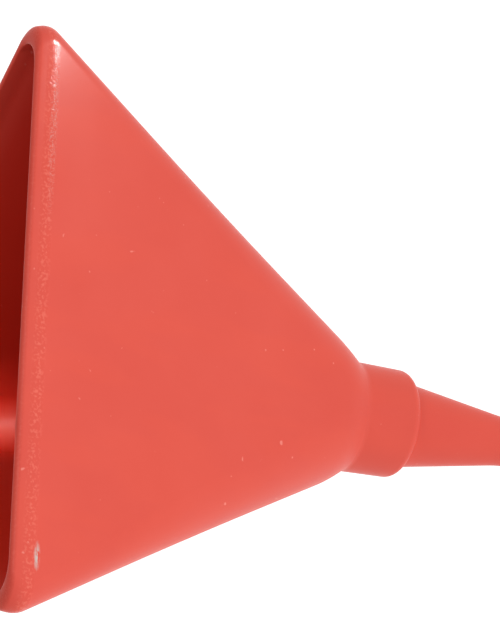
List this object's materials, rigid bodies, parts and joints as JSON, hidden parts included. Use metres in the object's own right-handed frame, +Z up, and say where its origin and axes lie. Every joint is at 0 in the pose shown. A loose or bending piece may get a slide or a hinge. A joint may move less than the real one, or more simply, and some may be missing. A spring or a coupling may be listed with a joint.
{
  "type": "fuel funnel",
  "caption": "Large moulded fuel funnel with a rounded triangular mouth, a stepped collar that holds a drop-in brass strainer, and a tapered spout.",
  "frame": {"origin": "centre of the spout's open tip", "axes": "+Z up the funnel's axis from the spout to the mouth; -Y towards one flat wall of the hopper, so +Y points at the opposite corner of the mouth; +X along the flat wall"},
  "size_m": [0.2328, 0.204, 0.268],
  "materials": {
    "moulded_red": "satin moulded polyethylene with a fine grain",
    "pressed_brass": "lightly brushed pressed sheet",
    "wire_cloth": "plain woven wire cloth"
  },
  "bodies": {
    "funnel": {"funnel_body": "moulded_red"},
    "strainer": {"strainer_frame": "pressed_brass", "strainer_mesh": "wire_cloth", "strainer_ring": "pressed_brass"}
  },
  "joints": [
    {"name": "strainer_lift", "type": "slide", "parent": "funnel", "child": "strainer", "axis": [0, 0, 1], "range_m": [0, 0.205]}
  ]
}
